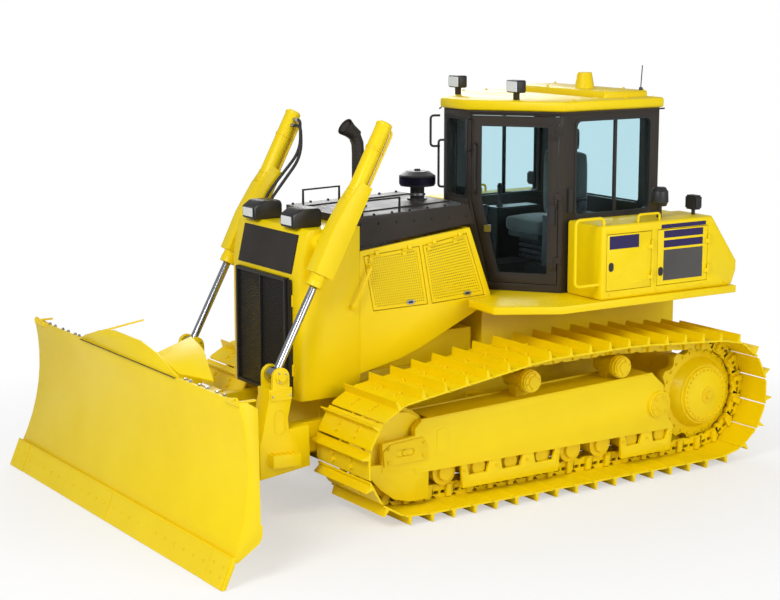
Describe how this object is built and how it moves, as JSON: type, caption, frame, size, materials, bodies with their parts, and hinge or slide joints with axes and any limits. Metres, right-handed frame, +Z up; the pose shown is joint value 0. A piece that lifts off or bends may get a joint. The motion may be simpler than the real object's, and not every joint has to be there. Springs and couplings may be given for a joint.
{
  "type": "bulldozer",
  "caption": "Low ground pressure bulldozer on wide tracks, with an angling and tilting blade on an inside push frame, a six-sided cab and opening doors.",
  "frame": {"origin": "middle of the bounding box on the ground", "axes": "-Y is the way the machine faces, +X its left side, +Z up"},
  "size_m": [3.8844, 5.6642, 3.3],
  "materials": {
    "machine_yellow": "gloss paint",
    "chrome_rod": "polished",
    "cab_black": "semi gloss",
    "hood_black": "satin",
    "window_glass": "clear tinted",
    "lamp_black": "fine grain",
    "engine_grey": "as cast",
    "seat_cloth": "woven",
    "inside_plastic": "moulded",
    "clear_lens": "clear ribbed"
  },
  "bodies": {
    "machine": {"beacon": "clear_lens", "cab_frame": "cab_black", "cab_roof": "machine_yellow", "console": "inside_plastic", "engine_bay": "machine_yellow", "engine_block": "engine_grey", "exhaust": "hood_black", "front_lamp_left": "lamp_black", "front_lamp_right": "lamp_black", "fuel_tank": "machine_yellow", "glass_front": "window_glass", "glass_left": "window_glass", "glass_rear": "window_glass", "glass_right": "window_glass", "hood": "hood_black", "hull": "machine_yellow", "idler_left": "machine_yellow", "idler_right": "machine_yellow", "left_box": "machine_yellow", "platform": "machine_yellow", "precleaner": "hood_black", "radiator_guard": "machine_yellow", "right_tank": "machine_yellow", "roof_lamp_left": "lamp_black", "roof_lamp_right": "lamp_black", "seat": "seat_cloth", "sprocket_left": "machine_yellow", "sprocket_right": "machine_yellow", "track_frame_left": "machine_yellow", "track_frame_right": "machine_yellow", "track_left": "machine_yellow", "track_right": "machine_yellow"},
    "push_frame": {"push_frame": "machine_yellow"},
    "yoke": {"blade_yoke": "machine_yellow"},
    "blade": {"blade": "machine_yellow", "cutting_edge": "machine_yellow", "rock_guard": "machine_yellow"},
    "tilt_barrel": {"tilt_barrel": "machine_yellow"},
    "tilt_rod": {"tilt_rod": "chrome_rod"},
    "grille_door": {"grille_door": "hood_black"},
    "box_door_front": {"box_door_front": "machine_yellow"},
    "box_door_rear": {"box_door_rear": "machine_yellow"},
    "lift_barrel_left": {"lift_barrel_left": "machine_yellow"},
    "lift_rod_left": {"lift_rod_left": "chrome_rod"},
    "angle_barrel_left": {"angle_barrel_left": "machine_yellow"},
    "angle_rod_left": {"angle_rod_left": "chrome_rod"},
    "engine_door_front_left": {"engine_door_front_left": "machine_yellow"},
    "engine_door_rear_left": {"engine_door_rear_left": "machine_yellow"},
    "cab_door_left": {"cab_door_left": "cab_black", "cab_door_glass_left": "window_glass"},
    "lift_barrel_right": {"lift_barrel_right": "machine_yellow"},
    "lift_rod_right": {"lift_rod_right": "chrome_rod"},
    "angle_barrel_right": {"angle_barrel_right": "machine_yellow"},
    "angle_rod_right": {"angle_rod_right": "chrome_rod"},
    "engine_door_front_right": {"engine_door_front_right": "machine_yellow"},
    "engine_door_rear_right": {"engine_door_rear_right": "machine_yellow"},
    "cab_door_right": {"cab_door_right": "cab_black", "cab_door_glass_right": "window_glass"}
  },
  "joints": [
    {"name": "blade_lift", "type": "hinge", "parent": "machine", "child": "push_frame", "pos_m": [0, 0.0339, 0.58], "axis": [-1, 0, 0], "range_deg": [-11, 21]},
    {"name": "blade_angle", "type": "hinge", "parent": "push_frame", "child": "yoke", "pos_m": [0, -2.0161, 0.53], "axis": [0, 0, 1], "range_deg": [-25, 25]},
    {"name": "blade_tilt", "type": "hinge", "parent": "yoke", "child": "blade", "pos_m": [0, -2.3361, 0.52], "axis": [0, -1, 0], "range_deg": [-6.5, 6.5]},
    {"name": "lift_swing_left", "type": "hinge", "parent": "machine", "child": "lift_barrel_left", "pos_m": [0.7, -1.19773, 2.09], "axis": [-1, 0, 0], "range_deg": [-2.7, 5]},
    {"name": "lift_stroke_left", "type": "slide", "parent": "lift_barrel_left", "child": "lift_rod_left", "axis": [0, -0.4708, -0.8822], "range_m": [-0.665, 0.35]},
    {"name": "angle_swing_left", "type": "hinge", "parent": "push_frame", "child": "angle_barrel_left", "pos_m": [0.38, -1.5661, 0.4], "axis": [0, 0, 1], "range_deg": [-8.3, 8.3]},
    {"name": "angle_stroke_left", "type": "slide", "parent": "angle_barrel_left", "child": "angle_rod_left", "axis": [-0.0298, -0.9996, 0], "range_m": [-0.242, 0.242]},
    {"name": "lift_swing_right", "type": "hinge", "parent": "machine", "child": "lift_barrel_right", "pos_m": [-0.7, -1.19773, 2.09], "axis": [-1, 0, 0], "range_deg": [-2.7, 5]},
    {"name": "lift_stroke_right", "type": "slide", "parent": "lift_barrel_right", "child": "lift_rod_right", "axis": [0, -0.4708, -0.8822], "range_m": [-0.665, 0.35]},
    {"name": "angle_swing_right", "type": "hinge", "parent": "push_frame", "child": "angle_barrel_right", "pos_m": [-0.38, -1.5661, 0.4], "axis": [0, 0, 1], "range_deg": [-8.3, 8.3]},
    {"name": "angle_stroke_right", "type": "slide", "parent": "angle_barrel_right", "child": "angle_rod_right", "axis": [0.0298, -0.9996, 0], "range_m": [-0.242, 0.242]},
    {"name": "tilt_swing", "type": "hinge", "parent": "yoke", "child": "tilt_barrel", "pos_m": [-0.1, -2.3811, 0.8], "axis": [0, -1, 0], "range_deg": [-6, 6]},
    {"name": "tilt_stroke", "type": "slide", "parent": "tilt_barrel", "child": "tilt_rod", "axis": [1, 0, 0], "range_m": [-0.06, 0.06]},
    {"name": "cab_door_left", "type": "hinge", "parent": "machine", "child": "cab_door_left", "pos_m": [0.76739, 0.92166, 1.6], "axis": [0, 0, 1], "range_deg": [0, 95]},
    {"name": "engine_door_front_left", "type": "hinge", "parent": "machine", "child": "engine_door_front_left", "pos_m": [0.562, -0.80631, 1.95799], "axis": [0, -0.9975, -0.0712], "range_deg": [0, 80]},
    {"name": "engine_door_rear_left", "type": "hinge", "parent": "machine", "child": "engine_door_rear_left", "pos_m": [0.562, -0.24656, 1.99796], "axis": [0, -0.9882, -0.1529], "range_deg": [0, 80]},
    {"name": "cab_door_right", "type": "hinge", "parent": "machine", "child": "cab_door_right", "pos_m": [-0.76739, 0.92166, 1.6], "axis": [0, 0, -1], "range_deg": [0, 95]},
    {"name": "engine_door_front_right", "type": "hinge", "parent": "machine", "child": "engine_door_front_right", "pos_m": [-0.562, -0.80631, 1.95799], "axis": [0, 0.9975, 0.0712], "range_deg": [0, 80]},
    {"name": "engine_door_rear_right", "type": "hinge", "parent": "machine", "child": "engine_door_rear_right", "pos_m": [-0.562, -0.24656, 1.99796], "axis": [0, 0.9882, 0.1529], "range_deg": [0, 80]},
    {"name": "grille_door", "type": "hinge", "parent": "machine", "child": "grille_door", "pos_m": [0.4, -1.4414, 1.3], "axis": [0, 0, -1], "range_deg": [-95, 0]},
    {"name": "box_door_front", "type": "hinge", "parent": "machine", "child": "box_door_front", "pos_m": [1.282, 1.5309, 1.53], "axis": [0, 0, 1], "range_deg": [0, 110]},
    {"name": "box_door_rear", "type": "hinge", "parent": "machine", "child": "box_door_rear", "pos_m": [1.282, 2.1509, 1.53], "axis": [0, 0, 1], "range_deg": [0, 110]}
  ],
  "couplings": [
    {"joint": "lift_swing_left", "follows": "blade_lift", "ratio": 0.2296},
    {"joint": "lift_stroke_left", "follows": "blade_lift", "m_per_rad": -1.8109},
    {"joint": "angle_swing_left", "follows": "blade_angle", "ratio": 0.3172},
    {"joint": "angle_stroke_left", "follows": "blade_angle", "m_per_rad": -0.3637},
    {"joint": "lift_swing_right", "follows": "blade_lift", "ratio": 0.2296},
    {"joint": "lift_stroke_right", "follows": "blade_lift", "m_per_rad": -1.8109},
    {"joint": "angle_swing_right", "follows": "blade_angle", "ratio": 0.3172},
    {"joint": "angle_stroke_right", "follows": "blade_angle", "m_per_rad": 0.3637},
    {"joint": "tilt_swing", "follows": "blade_tilt", "ratio": 0.8953},
    {"joint": "tilt_stroke", "follows": "blade_tilt", "m_per_rad": -0.2796}
  ]
}
